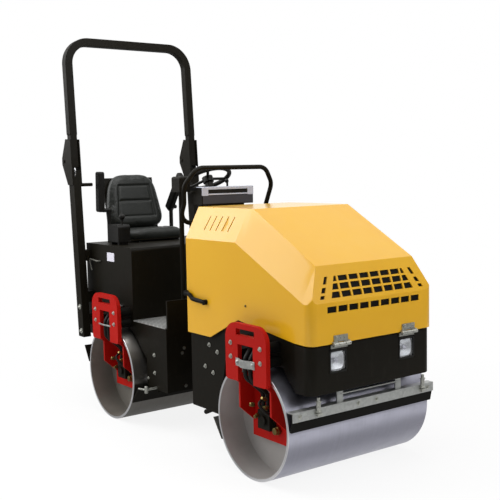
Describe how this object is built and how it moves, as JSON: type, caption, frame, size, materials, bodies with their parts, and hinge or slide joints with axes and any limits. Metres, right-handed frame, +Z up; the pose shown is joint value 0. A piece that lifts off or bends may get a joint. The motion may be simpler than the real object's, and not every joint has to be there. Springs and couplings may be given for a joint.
{
  "type": "road roller",
  "caption": "Ride-on tandem road roller with two smooth drums, tilting engine hood, centre articulation, seat, console and folding roll bar.",
  "frame": {"origin": "on the ground under the centre of the whole machine's outline", "axes": "+X forward, +Y to the machine's left, +Z up"},
  "size_m": [2.364, 0.982, 2.3316],
  "materials": {
    "black_steel": "satin",
    "yellow_steel": "gloss",
    "red_steel": "gloss",
    "drum_steel": "worn",
    "bright_steel": "zinc plated",
    "cast": "rough",
    "rod_chrome": "polished",
    "rubber": "matte",
    "black_plastic": "matte",
    "panel": "satin",
    "cushion": "satin",
    "lens": "clear",
    "engine": "plain"
  },
  "bodies": {
    "rear": {"rear_frame": "black_steel", "floor_plate": "black_steel", "seat_box": "black_steel", "rear_forks": "red_steel", "rear_fork_buffers": "rubber", "rear_drum_motors": "cast", "rear_hoses": "rubber", "rear_hose_brackets": "bright_steel", "roll_bar_posts": "black_steel", "seat_frame": "black_steel", "seat_cushion": "cushion", "seat_backrest": "cushion", "armrests": "black_plastic", "control_box": "black_plastic", "console": "panel", "grab_rail": "black_steel", "lever_stand": "black_steel", "rear_drum_front_scraper": "bright_steel", "rear_drum_rear_scraper": "black_steel"},
    "knuckle": {"centre_knuckle": "cast"},
    "front": {"front_frame": "black_steel", "nose": "black_steel", "headlamp_bodies": "bright_steel", "headlamp_lenses": "lens", "front_forks": "red_steel", "front_fork_buffers": "rubber", "front_drum_motors": "cast", "front_hoses": "rubber", "front_hose_brackets": "bright_steel", "engine_block": "engine", "hood_hinge_leaves": "bright_steel", "front_scraper_bar": "bright_steel", "front_scraper_blade": "rubber", "front_drum_rear_scraper": "bright_steel"},
    "hood": {"hood": "yellow_steel", "hood_latches": "rubber", "grille_screen": "black_steel", "hood_hinge_straps": "bright_steel"},
    "front_drum": {"front_drum": "drum_steel"},
    "rear_drum": {"rear_drum": "drum_steel"},
    "steering_barrel": {"steering_barrel": "black_steel"},
    "steering_rod": {"steering_rod": "rod_chrome"},
    "steering_wheel": {"steering_wheel": "black_plastic"},
    "roll_bar": {"roll_bar": "black_steel"}
  },
  "joints": [
    {"name": "steer", "type": "hinge", "parent": "rear", "child": "knuckle", "pos_m": [0.085, 0, 0.42], "axis": [0, 0, 1], "range_deg": [-30, 30]},
    {"name": "oscillate", "type": "hinge", "parent": "knuckle", "child": "front", "pos_m": [0.147, 0, 0.42], "axis": [1, 0, 0], "range_deg": [-8, 8]},
    {"name": "front_drum_spin", "type": "hinge", "parent": "front", "child": "front_drum", "pos_m": [0.793, 0, 0.28], "axis": [0, 1, 0], "continuous": true},
    {"name": "rear_drum_spin", "type": "hinge", "parent": "rear", "child": "rear_drum", "pos_m": [-0.623, 0, 0.28], "axis": [0, 1, 0], "continuous": true},
    {"name": "hood_tilt", "type": "hinge", "parent": "front", "child": "hood", "pos_m": [1.173, 0, 0.687], "axis": [0, 1, 0], "range_deg": [0, 60]},
    {"name": "roll_bar_fold", "type": "hinge", "parent": "rear", "child": "roll_bar", "pos_m": [-1.13, 0, 1.555], "axis": [0, -1, 0], "range_deg": [0, 105]},
    {"name": "steering_wheel_turn", "type": "hinge", "parent": "rear", "child": "steering_wheel", "pos_m": [-0.212, 0, 1.434], "axis": [-0.454, 0, 0.891], "continuous": true},
    {"name": "cylinder_swing", "type": "hinge", "parent": "rear", "child": "steering_barrel", "pos_m": [-0.265, -0.155, 0.34], "axis": [0, 0, 1], "range_deg": [-2.8, 2.8]},
    {"name": "cylinder_stroke", "type": "slide", "parent": "steering_barrel", "child": "steering_rod", "axis": [0.998, 0.0632, 0], "range_m": [-0.068, 0.068]}
  ],
  "couplings": [
    {"joint": "cylinder_stroke", "follows": "steer", "m_per_rad": 0.128},
    {"joint": "cylinder_swing", "follows": "steer", "ratio": 0.09}
  ]
}
